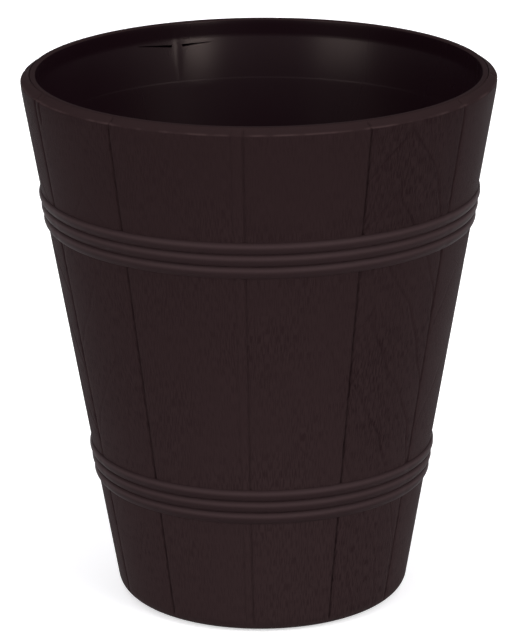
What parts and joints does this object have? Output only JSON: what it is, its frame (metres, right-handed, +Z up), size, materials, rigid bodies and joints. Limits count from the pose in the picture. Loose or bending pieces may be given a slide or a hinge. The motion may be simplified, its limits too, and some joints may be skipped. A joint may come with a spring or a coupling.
{
  "type": "barrel planter",
  "caption": "Tapered round floor planter moulded as a staved wooden barrel with ribbed hoops, with a smooth lift-out inner pot and a drain plug.",
  "frame": {"origin": "centre of the foot, on the floor", "axes": "+Z up along the pot's axis; -Y is the side that faces the picture; +X is to the right in the picture"},
  "size_m": [0.35, 0.35, 0.4],
  "materials": {
    "stave_plastic": "satin, embossed wood grain",
    "liner_plastic": "smooth, polished",
    "plug_rubber": "matt"
  },
  "bodies": {
    "outer_pot": {"outer_shell": "stave_plastic"},
    "inner_pot": {"liner": "liner_plastic"},
    "plug": {"drain_plug": "plug_rubber"}
  },
  "joints": [
    {"name": "liner_lift", "type": "slide", "parent": "outer_pot", "child": "inner_pot", "axis": [0, 0, 1], "range_m": [0, 0.41]},
    {"name": "plug_pull", "type": "slide", "parent": "outer_pot", "child": "plug", "axis": [0, 0, -1], "range_m": [0, 0.015]}
  ]
}
